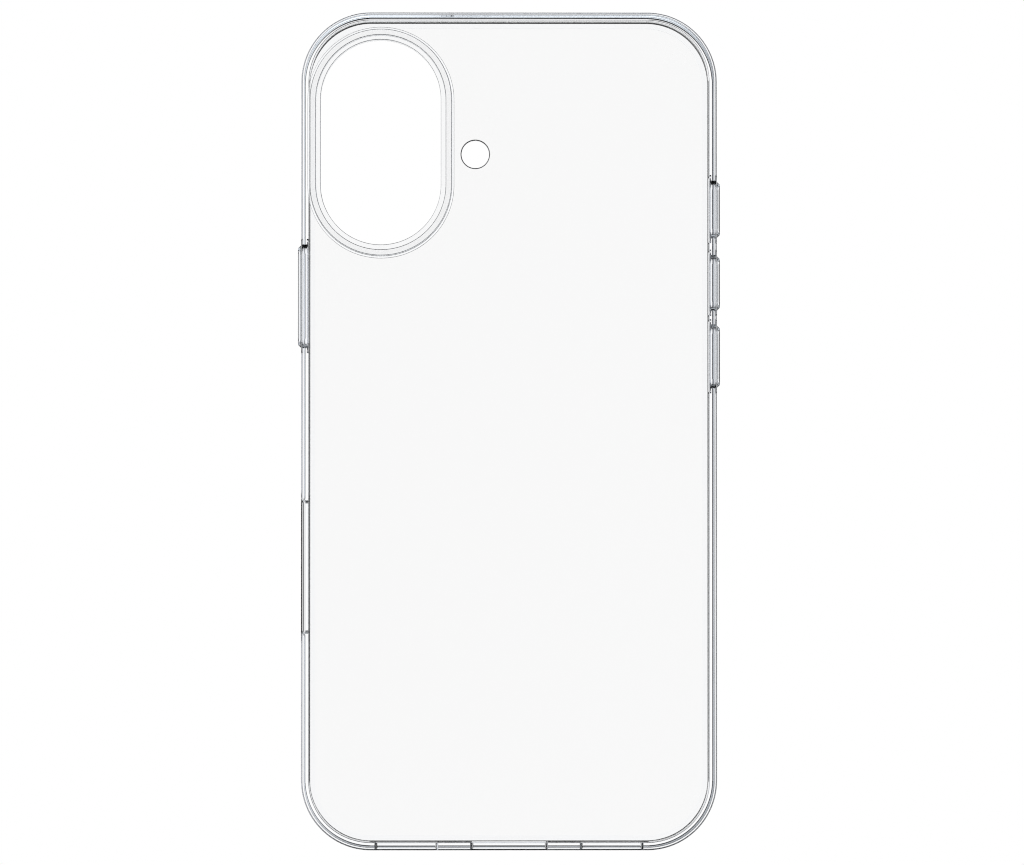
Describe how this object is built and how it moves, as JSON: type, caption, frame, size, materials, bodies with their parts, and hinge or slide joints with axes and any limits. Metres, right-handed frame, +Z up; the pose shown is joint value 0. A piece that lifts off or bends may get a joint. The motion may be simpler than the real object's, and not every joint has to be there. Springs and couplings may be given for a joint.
{
  "type": "phone case",
  "caption": "Clear phone case with a hard back plate, a soft bumper frame with a lip over the screen edge, a raised camera ring and push-through side buttons.",
  "frame": {"origin": "centre of the bottom edge, midway between the front of the lip and the crest of the camera ring", "axes": "+Z up along the long side, +Y from the back plate towards the screen, +X towards the three-button side"},
  "size_m": [0.0762, 0.0124, 0.151],
  "materials": {
    "bumper_rubber": "crystal-clear flexible TPU, polished, with a faint blue-grey edge tint",
    "plate_plastic": "crystal-clear hard polycarbonate, polished on both faces",
    "ring_plastic": "clear hard plastic, polished, with sloped inner walls",
    "button_plastic": "clear hard plastic, polished, with bevelled edges",
    "web_rubber": "thin clear flexible TPU"
  },
  "bodies": {
    "case_body": {"bumper_frame": "bumper_rubber", "back_plate": "plate_plastic", "camera_ring": "ring_plastic", "action_button_web": "web_rubber", "volume_up_button_web": "web_rubber", "volume_down_button_web": "web_rubber", "side_button_web": "web_rubber"},
    "action_button": {"action_button_cap": "button_plastic"},
    "volume_up_button": {"volume_up_button_cap": "button_plastic"},
    "volume_down_button": {"volume_down_button_cap": "button_plastic"},
    "side_button": {"side_button_cap": "button_plastic"}
  },
  "joints": [
    {"name": "action_button_press", "type": "slide", "parent": "case_body", "child": "action_button", "axis": [-1, 0, 0], "range_m": [0, 0.0004]},
    {"name": "volume_up_button_press", "type": "slide", "parent": "case_body", "child": "volume_up_button", "axis": [-1, 0, 0], "range_m": [0, 0.0004]},
    {"name": "volume_down_button_press", "type": "slide", "parent": "case_body", "child": "volume_down_button", "axis": [-1, 0, 0], "range_m": [0, 0.0004]},
    {"name": "side_button_press", "type": "slide", "parent": "case_body", "child": "side_button", "axis": [1, 0, 0], "range_m": [0, 0.0004]}
  ]
}
